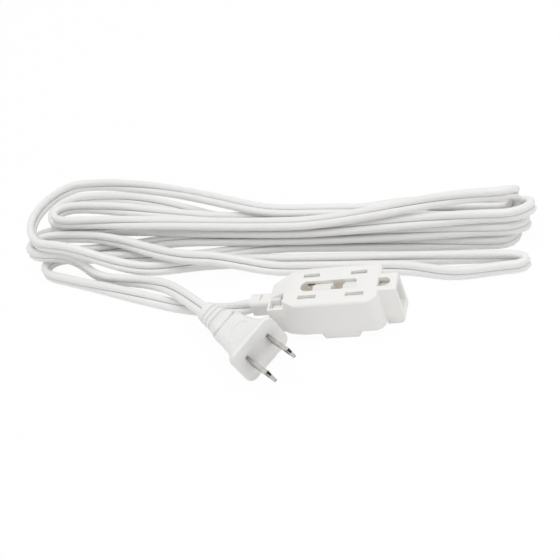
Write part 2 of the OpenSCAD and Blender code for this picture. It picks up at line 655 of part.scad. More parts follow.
// half width, half height and corner of the moulding at each place behind the face
function flare(s) = (1 - s) * (1 - s) * (1 - s);
function plug_rows() = let (
  fw = face_w / 2, ft = face_t / 2, sw = step_w / 2, st = step_w / 2 * 0.75,
  bw = boot_w / 2, bt = boot_t / 2, x0 = -rim_t, x1 = -23.6,
  g0 = -29.6) concat(
  [[0, fw - 0.5, ft - 0.5, 3.6], [-0.5, fw, ft, 4], [x0, fw, ft, 4]],
  [for (i = [0:8]) let (s = i / 8, f = flare(s)) [x0 - 0.4 + (x1 - x0 + 0.4) * s,
    sw + (fw - 0.5 - sw) * f, st + (ft - 0.5 - st) * f, 4 + s * 0.4]],
  [[x1 - 0.4, sw - 0.55, st - 0.45, 4.2], [g0 + 1.6, bw + 0.15, bt + 0.15, 3.6]],
  [for (i = [0:grooves - 1]) let (g = g0 - i * groove_pitch)
    each [[g, bw, bt, 3.5], [g - 0.25, bw - groove_d, bt - groove_d, 3],
      [g - 0.95, bw - groove_d, bt - groove_d, 3], [g - 1.2, bw - 0.05, bt - 0.05, 3.5]]],
  [[boot_x + 0.5, bw - 0.25, bt - 0.35, 3.2], [boot_x, bw - 0.6, bt - 0.7, 3]]);

module loft(rows, n) {
  k = 4 * (n + 1);
  m = len(rows);
  pts = [for (r = rows) for (p = section(r[1], r[2], r[3], n)) [r[0], p[0], p[1]]];
  sides = [for (i = [0:m - 2]) for (j = [0:k - 1]) let (
      a = i * k + j, b = i * k + (j + 1) % k, c = b + k, d = a + k)
    each [[a, b, c], [a, c, d]]];
  caps = [[for (j = [k - 1:-1:0]) j], [for (j = [0:k - 1]) (m - 1) * k + j]];
  polyhedron(pts, concat(sides, caps));
}

module plug_wire(side, r) {
  sweep([[boot_x - (r > wire_d / 2 ? 1 : 0), side * core, 0, 0], [boot_x + 10, side * core, 0, 0],
    [boot_x + 18, side * (core + 0.9), 0, 0], [boot_x + 24, side * tail_y, 0, 0],
    [boot_x + 26.5, side * tail_y, 0, 0]], ring(r, 8), [1, 0, 0], [1, 0, 0]);
}

module blade_body(side, w) {
  y = side * slot_y;
  y0 = min(side * (tail_y - 0.3), side * (slot_y + blade_t / 2));
  difference() {
    union() {
      translate([-6.4, y - blade_t / 2, 0]) rotate([-90, 0, 0]) linear_extrude(blade_t)
        polygon([[0, -w / 2], [blade_l + 5.4, -w / 2], [blade_l + 6.4, -w / 2 + 1.6],
          [blade_l + 6.4, w / 2 - 1.6], [blade_l + 5.4, w / 2], [0, w / 2]]);
      translate([-6.4, y0, -2]) cube([1.5, abs(slot_y + blade_t / 2 - tail_y + 0.3), 4]);
      translate([-11.6, side > 0 ? tail_y - 0.3 : -tail_y - 0.4, -1.2]) cube([5.3, 0.7, 2.4]);
      translate([boot_x + 26.7, side * tail_y, 0]) rotate([0, 90, 0]) cylinder(h = 3, r = crimp_r);
    }
    translate([hole_at, y - 3, 0]) rotate([-90, 0, 0]) cylinder(h = 6, r = blade_hole / 2);
    translate([boot_x + 20, side * tail_y, 0]) rotate([0, 90, 0])
      cylinder(h = 10, r = strand_d / 2);
  }
}

module holder_form(less) {
  translate([holder[0][0], -holder[1] / 2 + less, -holder[2] / 2 + less])
    cube([holder[0][1] - holder[0][0], holder[1] - 2 * less, holder[2] - 2 * less]);
}

module plug_body() {
  color("#f2f1ee") at_plug() difference() {
    loft(plug_rows(), 6);
    holder_form(0);
    for (s = [-1, 1]) {
      w = s > 0 ? hot_w : neutral_w;
      translate([-3, s * slot_y - blade_t / 2, -w / 2]) cube([4, blade_t, w]);
      translate([boot_x + 26, s * tail_y - crimp_r - 0.2, -crimp_r - 0.2])
        cube([holder[0][0] - boot_x - 25.9, 2 * crimp_r + 0.4, 2 * crimp_r + 0.4]);
      plug_wire(s, wire_d / 2 + 0.05);
    }
  }
}

module blade_holder() {
  color("#d9d7d2") at_plug() difference() {
    holder_form(0);
    for (s = [-1, 1]) {
      w = s > 0 ? hot_w : neutral_w;
      translate([-6.4, s * slot_y - blade_t / 2, -w / 2]) cube([9, blade_t, w]);
      translate([-9.5, min(s * (tail_y - crimp_r - 0.2), s * (slot_y + blade_t / 2)), -2])
        cube([4.6, slot_y + blade_t / 2 - tail_y + crimp_r + 0.2, 4]);
    }
  }
}

module blade_hot() { color("#c2a05a") at_plug() blade_body(1, hot_w); }
module blade_neutral() { color("#c2a05a") at_plug() blade_body(-1, neutral_w); }
module plug_wire_hot() { color("#ffffff") at_plug() plug_wire(1, wire_d / 2); }
module plug_wire_neutral() { color("#ffffff") at_plug() plug_wire(-1, wire_d / 2); }

module plug_strand(side) {
  translate([boot_x + 26.5, side * tail_y, 0]) rotate([0, 90, 0])
    cylinder(h = 3.4, r = strand_d / 2);
}

module plug_strand_hot() { color("#b8703a") at_plug() plug_strand(1); }
module plug_strand_neutral() { color("#b8703a") at_plug() plug_strand(-1); }

// ---- cord ----
plug_dir = [cos(plug_yaw), sin(plug_yaw), 0];
plug_in = plug_at + boot_x * plug_dir;
hank_dir = [cos(hank_yaw), sin(hank_yaw), 0];

module plug_lead() {
  a = hank[0];
  b = concat(plug_in - cord_w * plug_dir, plug_roll);
  c = concat(plug_in, plug_roll);
  color("#f0efec") sweep(concat([xyz4(a, 90)], finer(concat(tail(plug_path), [b])), [c]),
    twin(true), -hank_dir, plug_dir);
}

function xyz4(p, l) = [p[0], p[1], p[2], l];
function tail(p) = [for (i = [1:len(p) - 1]) p[i]];

module tap_lead() {
  a = last(hank);
  c = [-hx, 0, neck_z, 90];
  color("#f0efec") sweep(concat([xyz4(a, 90)], finer(tail(tap_path)), [c]),
    twin(true), -hank_dir, [1, 0, 0]);
}

module cord_hank() {
  color("#ecebe8") sweep(hank, twin(false), hank_dir, -hank_dir);
}

tap_top_cover();
tap_bottom_cover();
shutter_plate();
contact_carrier();
contact_hot();
contact_neutral();
tap_wire_hot();
tap_wire_neutral();
tap_strand_hot();
tap_strand_neutral();
cord_grip();
plug_body();
blade_holder();
blade_hot();
blade_neutral();
plug_wire_hot();
plug_wire_neutral();
plug_strand_hot();
plug_strand_neutral();
plug_lead();
tap_lead();
cord_hank();
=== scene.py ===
"""Dresses a household extension cord: flat twin cord, two-blade plug, three-outlet tap."""

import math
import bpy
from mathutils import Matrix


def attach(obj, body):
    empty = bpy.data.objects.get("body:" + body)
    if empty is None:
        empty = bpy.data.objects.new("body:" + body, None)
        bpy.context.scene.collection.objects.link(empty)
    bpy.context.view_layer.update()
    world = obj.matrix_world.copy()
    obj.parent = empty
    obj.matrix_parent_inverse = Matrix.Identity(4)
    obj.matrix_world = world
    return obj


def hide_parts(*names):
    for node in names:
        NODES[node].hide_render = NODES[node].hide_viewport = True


bl_info = {
    "name": "Extension Cord Maker",
    "version": (1, 0, 0),
    "blender": (4, 5, 0),
    "location": "View3D > Sidebar > Extension Cord",
    "description": "Builds the finished surfaces of a household extension cord",
    "category": "Object",
}

import bmesh
import bpy
from bpy.props import FloatProperty, FloatVectorProperty, IntProperty, PointerProperty
from mathutils import Matrix, Vector

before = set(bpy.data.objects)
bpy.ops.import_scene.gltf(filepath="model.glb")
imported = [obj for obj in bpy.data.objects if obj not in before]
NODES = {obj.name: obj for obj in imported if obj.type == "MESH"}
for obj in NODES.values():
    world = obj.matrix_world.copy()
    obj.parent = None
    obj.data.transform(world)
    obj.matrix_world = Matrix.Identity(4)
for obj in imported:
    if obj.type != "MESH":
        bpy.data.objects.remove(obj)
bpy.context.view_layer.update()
MM = 0.001

# Cord routes in metres: x, y, z, and the lean of the cord's width from level in degrees.
PLUG_ROUTE = (
    (-0.1495, 0.0575, 0.0108, 90), (-0.157, 0.0576, 0.0108, 90),
    (-0.163, 0.0554, 0.0108, 90), (-0.165, 0.0512, 0.0108, 90),
    (-0.163, 0.047, 0.0107, 90), (-0.157, 0.0449, 0.0106, 90),
    (-0.149, 0.0444, 0.0102, 90), (-0.141, 0.0434, 0.0092, 90),
    (-0.1335, 0.0406, 0.0062, 90), (-0.1275, 0.0364, 0.004, 90),
    (-0.12, 0.033, 0.0034, 90), (-0.11, 0.0308, 0.0035, 86),
    (-0.1, 0.0284, 0.0041, 76), (-0.091, 0.025, 0.0053, 62),
    (-0.0825, 0.02, 0.0074, 46), (-0.0745, 0.0136, 0.0096, 30),
    (-0.0676, 0.0076, 0.0112, 20),
)
TAP_ROUTE = (
    (-0.1455, 0.0498, 0.0034, 90), (-0.151, 0.05, 0.0034, 90),
    (-0.1556, 0.0482, 0.0034, 90), (-0.1573, 0.0442, 0.0034, 90),
    (-0.1556, 0.04, 0.0034, 90), (-0.1508, 0.0372, 0.0034, 90),
    (-0.143, 0.0346, 0.0034, 90), (-0.131, 0.0304, 0.0034, 86),
    (-0.1185, 0.0262, 0.0034, 70), (-0.1055, 0.0218, 0.003, 45),
    (-0.092, 0.0172, 0.0026, 24), (-0.0785, 0.0126, 0.0024, 16),
    (-0.067, 0.0096, 0.0025, 15), (-0.0565, 0.0068, 0.0039, 13),
    (-0.048, 0.003, 0.007, 18), (-0.0405, 0.0, 0.0102, 44),
)
TAP_EXIT = (-0.0335, 0.0, 0.0117)
PLUG_FACE = (-0.024, -0.0272, 0.012)
PLUG_YAW = -38.2
PLUG_ROLL = 13.8
PLUG_LENGTH = 0.0405
BLADE_Y = 0.00635
HOLE_X = 0.0122
HOLE_R = 0.0016
COINED = 0.0018

# The hank's own axes: u along it, v towards the back, w up, all in millimetres.
HANK_AT = (-172.5, 64.0)
HANK_YAW = -5.5
WAIST_U = 147.0
WAIST_W = (2.2, 6.8, 11.4, 16.0)
FLOOR_W = 3.4
LAYER = 7.4
WAIST_LEAN = 15.0
LOOSE_LEAN = 50.0
FRONT_V = -3.6
BACK_V = 4.9
FLAT = (0, 1, 0, 1)

# The latch tongue's head in the tap's window, in millimetres: its foot and its back plate.
LATCH_HEAD = (((-22.08, -9.18, 14.8), (-17.02, -4.02, 15.5)),
              ((-22.08, -4.5, 15.5), (-17.02, -4.02, 18.1)))

# Points round one core of the cord, and where the groove stands in the whole outline.
CORE_POINTS = 17
GROOVE_AT = CORE_POINTS / (2 * CORE_POINTS + 2)


def level(layer):
    """Height of a cord on edge in that layer, in millimetres."""
    return FLOOR_W + LAYER * layer


# Each run: left end (u, v, w), waist (v, w, lean), right end (u, v, w), then the share of
# each half over which it spreads in v and climbs in w, and, where it has one, its side bend
# (u, half its length, v).
RUNS = {
    "h": ((36, -4.5, 10.8), (-19.9, 3.4, LOOSE_LEAN), (252, -19.5, 3.4), (0.36, 1, 0, 0.36), FLAT,
          (228, 26, -3.6)),
    "g": ((24, -18, 18.4), (-14.9, 3.4, LOOSE_LEAN), (252, -13.2, 3.4), (0.1, 1, 0.52, 0.96), FLAT,
          (65, 50, -4)),
    "a": ((12, 42, 3.4), (BACK_V, WAIST_W[3], WAIST_LEAN), (247, 8.4, 10.9),
          (0, 0.92, 0.2, 0.85), FLAT),
    "f3": ((29, -2, 18.2), (FRONT_V, WAIST_W[3], WAIST_LEAN), (247, 2, level(3)), FLAT, FLAT),
    "b2": ((29, 8.8, 18.2), (BACK_V, WAIST_W[2], WAIST_LEAN), (247, 12.8, 10.9),
           (0, 1, 0.3, 1), (0, 0.6, 0.5, 1)),
    "f2": ((22, 1.5, 10.8), (FRONT_V, WAIST_W[2], WAIST_LEAN), (249, -3.5, level(2)), FLAT, FLAT),
    "b1": ((18, 32, 3.4), (BACK_V, WAIST_W[1], WAIST_LEAN), (246, 12.8, 3.4),
           (0.08, 0.95, 0.35, 1), (0, 0.5, 0.38, 0.88)),
    "f1": ((24, -7.2, 3.4), (FRONT_V, WAIST_W[1], WAIST_LEAN), (248, -4, level(1)),
           (0.45, 1, 0.42, 0.84), FLAT),
    "b0": ((24, 8.5, 3.4), (BACK_V, WAIST_W[0], WAIST_LEAN), (244, 8.2, 3.4),
           (0.2, 0.7, 0.2, 0.7), (0.12, 1, 0, 1)),
    "f0": ((42, -11.6, 3.4), (FRONT_V, WAIST_W[0], WAIST_LEAN), (245, -4.6, level(0)),
           (0, 0.6, 0.15, 1), FLAT),
}
# The order along the cord: a run, then the reach and climb window of the fold after it.
WINDING = (
    ("h", 1, 259.5, 0, 1), ("g", -1, 5.5, 0.25, 1), ("a", 1, 253, 0, 0.6), ("f3", -1, 19, 0, 1),
    ("b2", 1, 259, 0, 0.8), ("f2", -1, 9.5, 0.25, 1), ("b1", 1, 255, 0.12, 0.95),
    ("f1", -1, 1, 0, 1), ("b0", 1, 251, 0, 1), ("f0", -1, None, 0, 1),
)


class CordSizes(bpy.types.PropertyGroup):
    """Sizes of the flat twin cord"""

    width: FloatProperty(name="Cord width", description="Width over both cores",
                         default=0.0066, min=0.003, max=0.012, subtype="DISTANCE")
    thickness: FloatProperty(name="Cord thickness", description="Thickness of one core",
                             default=0.0036, min=0.001, max=0.006, subtype="DISTANCE")
    groove: FloatProperty(name="Groove depth", description="Depth of the groove between cores",
                          default=0.0014, min=0, max=0.0017, subtype="DISTANCE")
    run_steps: IntProperty(name="Steps in a run", description="Rings along each run",
                           default=56, min=10, max=120)
    fold_steps: IntProperty(name="Steps in a fold", description="Rings round each fold",
                            default=22, min=8, max=60)


class MouldSizes(bpy.types.PropertyGroup):
    """Sizes of the moulded pieces' edges and of the plug"""

    edge: FloatProperty(name="Edge radius", description="Radius on moulded edges",
                        default=0.00022, min=0, max=0.001, subtype="DISTANCE")
    face_width: FloatProperty(name="Plug face width", description="Width of the plug's face",
                              default=0.0256, min=0.02, max=0.03, subtype="DISTANCE")
    face_height: FloatProperty(name="Plug face height", description="Height of the plug's face",
                               default=0.0199, min=0.015, max=0.022, subtype="DISTANCE")
    step_width: FloatProperty(name="Plug step width", description="Width at the step line",
                              default=0.0154, min=0.012, max=0.018, subtype="DISTANCE")
    boot_width: FloatProperty(name="Boot width", description="Width of the ribbed boot's root",
                              default=0.0122, min=0.01, max=0.014, subtype="DISTANCE")
    boot_height: FloatProperty(name="Boot height", description="Height of the ribbed boot's root",
                               default=0.0101, min=0.008, max=0.012, subtype="DISTANCE")


class FinishColours(bpy.types.PropertyGroup):
    """Colours of the finishes"""

    cover: FloatVectorProperty(name="Cover", description="White moulded covers",
                               default=(0.84, 0.835, 0.82), size=3, subtype="COLOR", min=0, max=1)
    mould: FloatVectorProperty(name="Mould", description="Overmoulded plug",
                               default=(0.92, 0.917, 0.905), size=3, subtype="COLOR", min=0, max=1)
    guard: FloatVectorProperty(name="Guard", description="Inner white mouldings",
                               default=(0.84, 0.835, 0.82), size=3, subtype="COLOR", min=0, max=1)
    jacket: FloatVectorProperty(name="Cord", description="Flexible cord jacket",
                                default=(0.92, 0.916, 0.906), size=3, subtype="COLOR", min=0, max=1)
    carrier: FloatVectorProperty(name="Carrier", description="Tan insulator",
                                 default=(0.92, 0.87, 0.8), size=3, subtype="COLOR", min=0, max=1)
    brass: FloatVectorProperty(name="Brass", description="Contact strips",
                               default=(0.72, 0.52, 0.24), size=3, subtype="COLOR", min=0, max=1)
    blade: FloatVectorProperty(name="Blade", description="Plated blades",
                               default=(0.55, 0.53, 0.5), size=3, subtype="COLOR", min=0, max=1)
    copper: FloatVectorProperty(name="Copper", description="Bared strands",
                                default=(0.72, 0.38, 0.2), size=3, subtype="COLOR", min=0, max=1)


# ---- shader node groups ----

def new_group(name, inputs, outputs):
    """An empty shader node group with named float, colour or vector sockets."""
    group = bpy.data.node_groups.new(name, "ShaderNodeTree")
    for label, kind, value in inputs:
        socket = group.interface.new_socket(label, in_out="INPUT", socket_type=kind)
        socket.default_value = value
    for label, kind in outputs:
        group.interface.new_socket(label, in_out="OUTPUT", socket_type=kind)
    return group, group.nodes.new("NodeGroupInput"), group.nodes.new("NodeGroupOutput")


def add(tree, kind, **values):
    """A node whose properties, and inputs by name or number, are set."""
    node = tree.nodes.new(kind)
    for key, value in values.items():
        if hasattr(node, key):
            setattr(node, key, value)
        else:
            node.inputs[key.replace("_", " ")].default_value = value
    return node


def noise(tree, coords, scale, detail=3.0, rough=0.55):
    """A noise texture on the given coordinates."""
    node = add(tree, "ShaderNodeTexNoise")
    node.inputs["Scale"].default_value = scale
    node.inputs["Detail"].default_value = detail
    node.inputs["Roughness"].default_value = rough
    tree.links.new(coords, node.inputs["Vector"])
    return node.outputs["Fac"]


def spread(tree, value, low, high, to_low, to_high):
    """Maps a value from one range to another, clamped."""
    node = add(tree, "ShaderNodeMapRange")
    for key, number in (("From Min", low), ("From Max", high), ("To Min", to_low), ("To Max", to_high)):
        node.inputs[key].default_value = number
    tree.links.new(value, node.inputs["Value"])
    return node.outputs["Result"]


def blend_colour(tree, factor, first, second):
    """Mixes two colour sockets or values by a factor socket."""
    node = add(tree, "ShaderNodeMix", data_type="RGBA")
    tree.links.new(factor, node.inputs[0])
    for value, socket in ((first, node.inputs[6]), (second, node.inputs[7])):
        if isinstance(value, bpy.types.NodeSocket):
            tree.links.new(value, socket)
        else:
            socket.default_value = value
    return node.outputs[2]


def seen_rays(tree):
    """1 where the camera sees a surface, straight on, in a gloss or through glass, else 0."""
    rays = tree.nodes.new("ShaderNodeLightPath")
    seen = rays.outputs["Is Camera Ray"]
    for kind in ("Is Glossy Ray", "Is Transmission Ray"):
        either = add(tree, "ShaderNodeMath", operation="MAXIMUM")
        tree.links.new(seen, either.inputs[0])
        tree.links.new(rays.outputs[kind], either.inputs[1])
        seen = either.outputs[0]
    return seen


def moulded_surface_group():
    """Mottling, gloss variation and fine pitting of injection-moulded plastic."""
    group, source, sink = new_group(
        "moulded_surface",
        [("Colour", "NodeSocketColor", (0.8, 0.8, 0.8, 1)), ("Shade", "NodeSocketColor", (0.7, 0.7, 0.7, 1)),
         ("Mottle", "NodeSocketFloat", 0.3), ("Roughness", "NodeSocketFloat", 0.35),
         ("Pitting", "NodeSocketFloat", 0.1)],
        [("Colour", "NodeSocketColor"), ("Roughness", "NodeSocketFloat"), ("Normal", "NodeSocketVector")])
    coords = group.nodes.new("ShaderNodeTexCoord").outputs["Object"]
    cloud = noise(group, coords, 60, 4)
    streak = add(group, "ShaderNodeMapping")
    streak.inputs["Scale"].default_value = (1, 0.25, 0.25)
    group.links.new(coords, streak.inputs["Vector"])
    flow = noise(group, streak.outputs["Vector"], 240, 3)
    both = add(group, "ShaderNodeMath", operation="MULTIPLY")
    group.links.new(cloud, both.inputs[0])
    group.links.new(flow, both.inputs[1])
    mask = spread(group, both.outputs[0], 0.14, 0.4, 0, 1)
    amount = add(group, "ShaderNodeMath", operation="MULTIPLY")
    group.links.new(mask, amount.inputs[0])
    group.links.new(source.outputs["Mottle"], amount.inputs[1])
    colour = blend_colour(group, amount.outputs[0], source.outputs["Colour"], source.outputs["Shade"])
    group.links.new(colour, sink.inputs["Colour"])
    gloss = add(group, "ShaderNodeMath", operation="MULTIPLY_ADD")
    gloss.inputs[1].default_value = 0.12
    group.links.new(flow, gloss.inputs[0])
    group.links.new(source.outputs["Roughness"], gloss.inputs[2])
    group.links.new(gloss.outputs[0], sink.inputs["Roughness"])
    bump = add(group, "ShaderNodeBump")
    bump.inputs["Distance"].default_value = 0.00003
    group.links.new(source.outputs["Pitting"], bump.inputs["Strength"])
    group.links.new(noise(group, coords, 2600, 2), bump.inputs["Height"])
    group.links.new(bump.outputs["Normal"], sink.inputs["Normal"])
    return group


def brushed_metal_group():
    """Fine rolling lines and faint tarnish of pressed strip metal."""
    group, source, sink = new_group(
        "rolled_metal",
        [("Colour", "NodeSocketColor", (0.6, 0.6, 0.6, 1)), ("Tarnish", "NodeSocketColor", (0.3, 0.25, 0.2, 1)),
         ("Wear", "NodeSocketFloat", 0.4), ("Roughness", "NodeSocketFloat", 0.3)],
        [("Colour", "NodeSocketColor"), ("Roughness", "NodeSocketFloat"), ("Normal", "NodeSocketVector")])
    coords = group.nodes.new("ShaderNodeTexCoord").outputs["Object"]
    turn = add(group, "ShaderNodeMapping")
    turn.inputs["Rotation"].default_value = (0, 0, math.radians(-PLUG_YAW))
    turn.inputs["Scale"].default_value = (0.06, 1, 1)
    group.links.new(coords, turn.inputs["Vector"])
    lines = noise(group, turn.outputs["Vector"], 2400, 3)
    stain = noise(group, coords, 420, 4)
    mask = spread(group, stain, 0.45, 0.75, 0, 1)
    amount = add(group, "ShaderNodeMath", operation="MULTIPLY")
    group.links.new(mask, amount.inputs[0])
    group.links.new(source.outputs["Wear"], amount.inputs[1])
    colour = blend_colour(group, amount.outputs[0], source.outputs["Colour"], source.outputs["Tarnish"])
    group.links.new(colour, sink.inputs["Colour"])
    gloss = add(group, "ShaderNodeMath", operation="MULTIPLY_ADD")
    gloss.inputs[1].default_value = 0.25
    group.links.new(lines, gloss.inputs[0])
    group.links.new(source.outputs["Roughness"], gloss.inputs[2])
    group.links.new(gloss.outputs[0], sink.inputs["Roughness"])
    bump = add(group, "ShaderNodeBump")
    bump.inputs["Distance"].default_value = 0.00002
    bump.inputs["Strength"].default_value = 0.35
    group.links.new(lines, bump.inputs["Height"])
    group.links.new(bump.outputs["Normal"], sink.inputs["Normal"])
    return group


def material_of(name, group_name, values, settings):
    """A Principled material fed by a node group, with fixed shader settings."""
    made = bpy.data.materials.get(name)
    if made:
        return made
    made = bpy.data.materials.new(name)
    made.use_nodes = True
    tree = made.node_tree
    shader = tree.nodes["Principled BSDF"]
    effect = tree.nodes.new("ShaderNodeGroup")
    effect.node_tree = bpy.data.node_groups[group_name]
    for key, value in values.items():
        effect.inputs[key].default_value = value
    for output, target in (("Colour", "Base Color"), ("Roughness", "Roughness"), ("Normal", "Normal")):
        tree.links.new(effect.outputs[output], shader.inputs[target])
    for key, value in settings.items():
        shader.inputs[key].default_value = value
    return made


def rgba(colour, factor=1.0):
    """A colour with alpha, darkened by a factor."""
    return (colour[0] * factor, colour[1] * factor, colour[2] * factor, 1)


def plastic(name, colour, rough, mottle=0.3, pitting=0.15, tint=0.93, **settings):
    """A moulded plastic finish."""
    values = {"Colour": rgba(colour), "Shade": rgba(colour, tint), "Mottle": mottle,
              "Roughness": rough, "Pitting": pitting}
    fixed = {"IOR": 1.49, "Specular IOR Level": 0.5, "Subsurface Weight": 0.4,
             "Subsurface Radius": (1.0, 0.95, 0.88), "Subsurface Scale": 0.0012}
    fixed.update((key.replace("_", " "), value) for key, value in settings.items())
    return material_of(name, "moulded_surface", values, fixed)


def metal(name, colour, rough, wear=0.4, tarnish_and_painted_shade=0.45):
    """A rolled metal finish."""
    values = {"Colour": rgba(colour), "Tarnish": rgba(colour, tarnish_and_painted_shade), "Wear": wear, "Roughness": rough}
    return material_of(name, "rolled_metal", values, {"Metallic": 1.0})


def blade_metal(colours, place):
    """Plated blades, with painted shade where they come out of the moulding."""
    made = metal("plated_blade", colours.blade, 0.24)
    tree = made.node_tree
    shader = tree.nodes["Principled BSDF"]
    axis = place.to_3x3().col[0]
    coords = add(tree, "ShaderNodeTexCoord")
    along = add(tree, "ShaderNodeVectorMath", operation="DOT_PRODUCT")
    along.inputs[1].default_value = axis
    tree.links.new(coords.outputs["Object"], along.inputs[0])
    root = place.translation.dot(axis)
    # Painted shade: the colour darkens to half at the moulding and clears over 7 mm along the blade.
    tarnish_and_painted_shade = spread(tree, along.outputs["Value"], root, root + 0.007, 1, 0)
    plain = shader.inputs["Base Color"].links[0].from_socket
    tree.links.new(blend_colour(tree, tarnish_and_painted_shade, plain, rgba(colours.blade, 0.5)),
                   shader.inputs["Base Color"])
    return made


def cord_jacket(colours):
    """Extruded jacket: draw lines along the cord and painted shade darkening the groove between the cores."""
    made = plastic("cord_jacket", colours.jacket, 0.3, mottle=0.25, pitting=0.2, tint=0.95,
                   Subsurface_Weight=0.2, Subsurface_Scale=0.0006)
    tree = made.node_tree
    shader = tree.nodes["Principled BSDF"]
    place = tree.nodes.new("ShaderNodeUVMap")
    place.uv_map = "along"
    parts = tree.nodes.new("ShaderNodeSeparateXYZ")
    tree.links.new(place.outputs[0], parts.inputs[0])
    around = parts.outputs["Y"]
    for step, values in (("MULTIPLY_ADD", (2, 0.5 - 2 * GROOVE_AT)), ("FRACT", ()),
                         ("SUBTRACT", (0.5,)), ("ABSOLUTE", ())):
        node = add(tree, "ShaderNodeMath", operation=step)
        tree.links.new(around, node.inputs[0])
        for number, value in enumerate(values, 1):
            node.inputs[number].default_value = value
        around = node.outputs[0]
    # Painted shade: the colour darkens to 0.55 of the jacket along the groove between the cores.
    groove = spread(tree, around, 0.004, 0.06, 1, 0)
    plain = shader.inputs["Base Color"].links[0].from_socket
    tree.links.new(blend_colour(tree, groove, plain, rgba(colours.jacket, 0.55)),
                   shader.inputs["Base Color"])
    stretch = add(tree, "ShaderNodeMapping")
    stretch.inputs["Scale"].default_value = (20, 60, 1)
    tree.links.new(place.outputs[0], stretch.inputs["Vector"])
    bump = add(tree, "ShaderNodeBump", Strength=0.25, Distance=0.00004)
    tree.links.new(noise(tree, stretch.outputs["Vector"], 1, 2), bump.inputs["Height"])
    tree.links.new(shader.inputs["Normal"].links[0].from_socket, bump.inputs["Normal"])
    tree.links.new(bump.outputs["Normal"], shader.inputs["Normal"])
    return made


# ---- meshes ----

def finish_piece(name, mesh, body, material, slot, *replaced):
    """Makes the object of a mesh, gives it its finish and ties it to its body."""
    piece = bpy.data.objects.new(name, mesh)
    bpy.context.scene.collection.objects.link(piece)
    mesh.materials.clear()
    mesh.materials.append(material)
    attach(piece, body)
    if replaced:
        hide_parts(*replaced)
    return piece


def rounded_copy(node, name, radius, sharp=25.0, segments=2):
    """A copy of a CAD node's mesh, merged, with its edges rounded."""
    shape = bmesh.new()
    shape.from_mesh(NODES[node].data)
    bmesh.ops.remove_doubles(shape, verts=shape.verts, dist=2e-6)
    bmesh.ops.dissolve_limit(shape, angle_limit=math.radians(1.0), verts=shape.verts,
                             edges=shape.edges, use_dissolve_boundaries=False)
    crisp = [edge for edge in shape.edges
             if len(edge.link_faces) == 2 and edge.calc_face_angle(0) > math.radians(sharp)]
    bmesh.ops.bevel(shape, geom=crisp, offset=radius, offset_type="OFFSET", segments=segments,
                    profile=0.5, affect="EDGES", clamp_overlap=True, material=-1)
    mesh = bpy.data.meshes.new(name)
    shape.to_mesh(mesh)
    shape.free()
    mesh.polygons.foreach_set("use_smooth", [True] * len(mesh.polygons))
    mesh.set_sharp_from_angle(angle=math.radians(40))
    return mesh


def tube(rings, name, capped=True, closed_uv=None):
    """A closed tube through rings of points, pulled out ring by ring."""
    shape = bmesh.new()
    uv = shape.loops.layers.uv.new("along")
    count = len(rings[0])
    verts = [shape.verts.new(p) for p in rings[0]]
    edges = [shape.edges.new((verts[i], verts[(i + 1) % count])) for i in range(count)]
    first = shape.faces.new(verts) if capped else None
    along = {v: (0.0, i / count) for i, v in enumerate(verts)}
    for number, ring in enumerate(rings[1:], 1):
        pulled = bmesh.ops.extrude_edge_only(shape, edges=edges)["geom"]
        new_edges = [g for g in pulled if isinstance(g, bmesh.types.BMEdge)]
        new_verts = [g for g in pulled if isinstance(g, bmesh.types.BMVert)]
        order = {}
        for vert in new_verts:
            for edge in vert.link_edges:
                other = edge.other_vert(vert)
                if other in along:
                    order[along[other][1]] = vert
        verts = [order[i / count] for i in range(count)]
        for i, (vert, point) in enumerate(zip(verts, ring)):
            vert.co = point
            along[vert] = (closed_uv[number] if closed_uv else number, i / count)
        edges = [e for e in new_edges if all(v in order.values() for v in e.verts)]
    if capped:
        shape.faces.new(list(reversed(verts)))
    bmesh.ops.recalc_face_normals(shape, faces=shape.faces)
    for face in shape.faces:
        wraps = max(along[loop.vert][1] for loop in face.loops) > 0.6 and len(face.loops) == 4
        for loop in face.loops:
            u, v = along[loop.vert]
            loop[uv].uv = (u, 1.0 if wraps and v == 0 else v)
    mesh = bpy.data.meshes.new(name)
    shape.to_mesh(mesh)
    shape.free()
    mesh.polygons.foreach_set("use_smooth", [True] * len(mesh.polygons))
    mesh.set_sharp_from_angle(angle=math.radians(50))
    return mesh


def ring_piece(points, radius, name, count=10):
    """A closed ring of round section through the given points, level where it starts."""
    rings = []
    for i, point in enumerate(points):
        ahead = (points[(i + 1) % len(points)] - points[i - 1]).normalized()
        out = ahead.cross(Vector((0, 0, 1))).normalized()
        up = out.cross(ahead)
        rings.append([point + (out * math.cos(a) + up * math.sin(a)) * radius
                      for a in (math.tau * k / count for k in range(count))])
    mesh = tube(rings + [rings[0]], name, capped=False)
    shape = bmesh.new()
    shape.from_mesh(mesh)
    bmesh.ops.remove_doubles(shape, verts=shape.verts, dist=1e-6)
    bmesh.ops.recalc_face_normals(shape, faces=shape.faces)
    shape.to_mesh(mesh)
    shape.free()
    return mesh


def add_latch_head(mesh, edge):
    """Adds the latch tongue's head, a sloping foot and an upright plate, to the cover's mesh."""
    shape = bmesh.new()
    shape.from_mesh(mesh)
    for low, high in LATCH_HEAD:
        low, high = Vector(low) * MM, Vector(high) * MM
        place = Matrix.Translation((low + high) / 2) @ Matrix.Diagonal((*(high - low), 1))
        verts = bmesh.ops.create_cube(shape, size=1, matrix=place)["verts"]
        for vert in verts:
            if vert.co.z > high.z - 0.1 * MM and vert.co.y < -9 * MM:
                vert.co.z -= 0.4 * MM
        edges = {line for vert in verts for line in vert.link_edges}
        bmesh.ops.bevel(shape, geom=list(edges), offset=edge * 0.7, offset_type="OFFSET", segments=2,
                        profile=0.5, affect="EDGES", clamp_overlap=True, material=-1)
    shape.to_mesh(mesh)
    shape.free()
    mesh.polygons.foreach_set("use_smooth", [True] * len(mesh.polygons))
    mesh.set_sharp_from_angle(angle=math.radians(40))


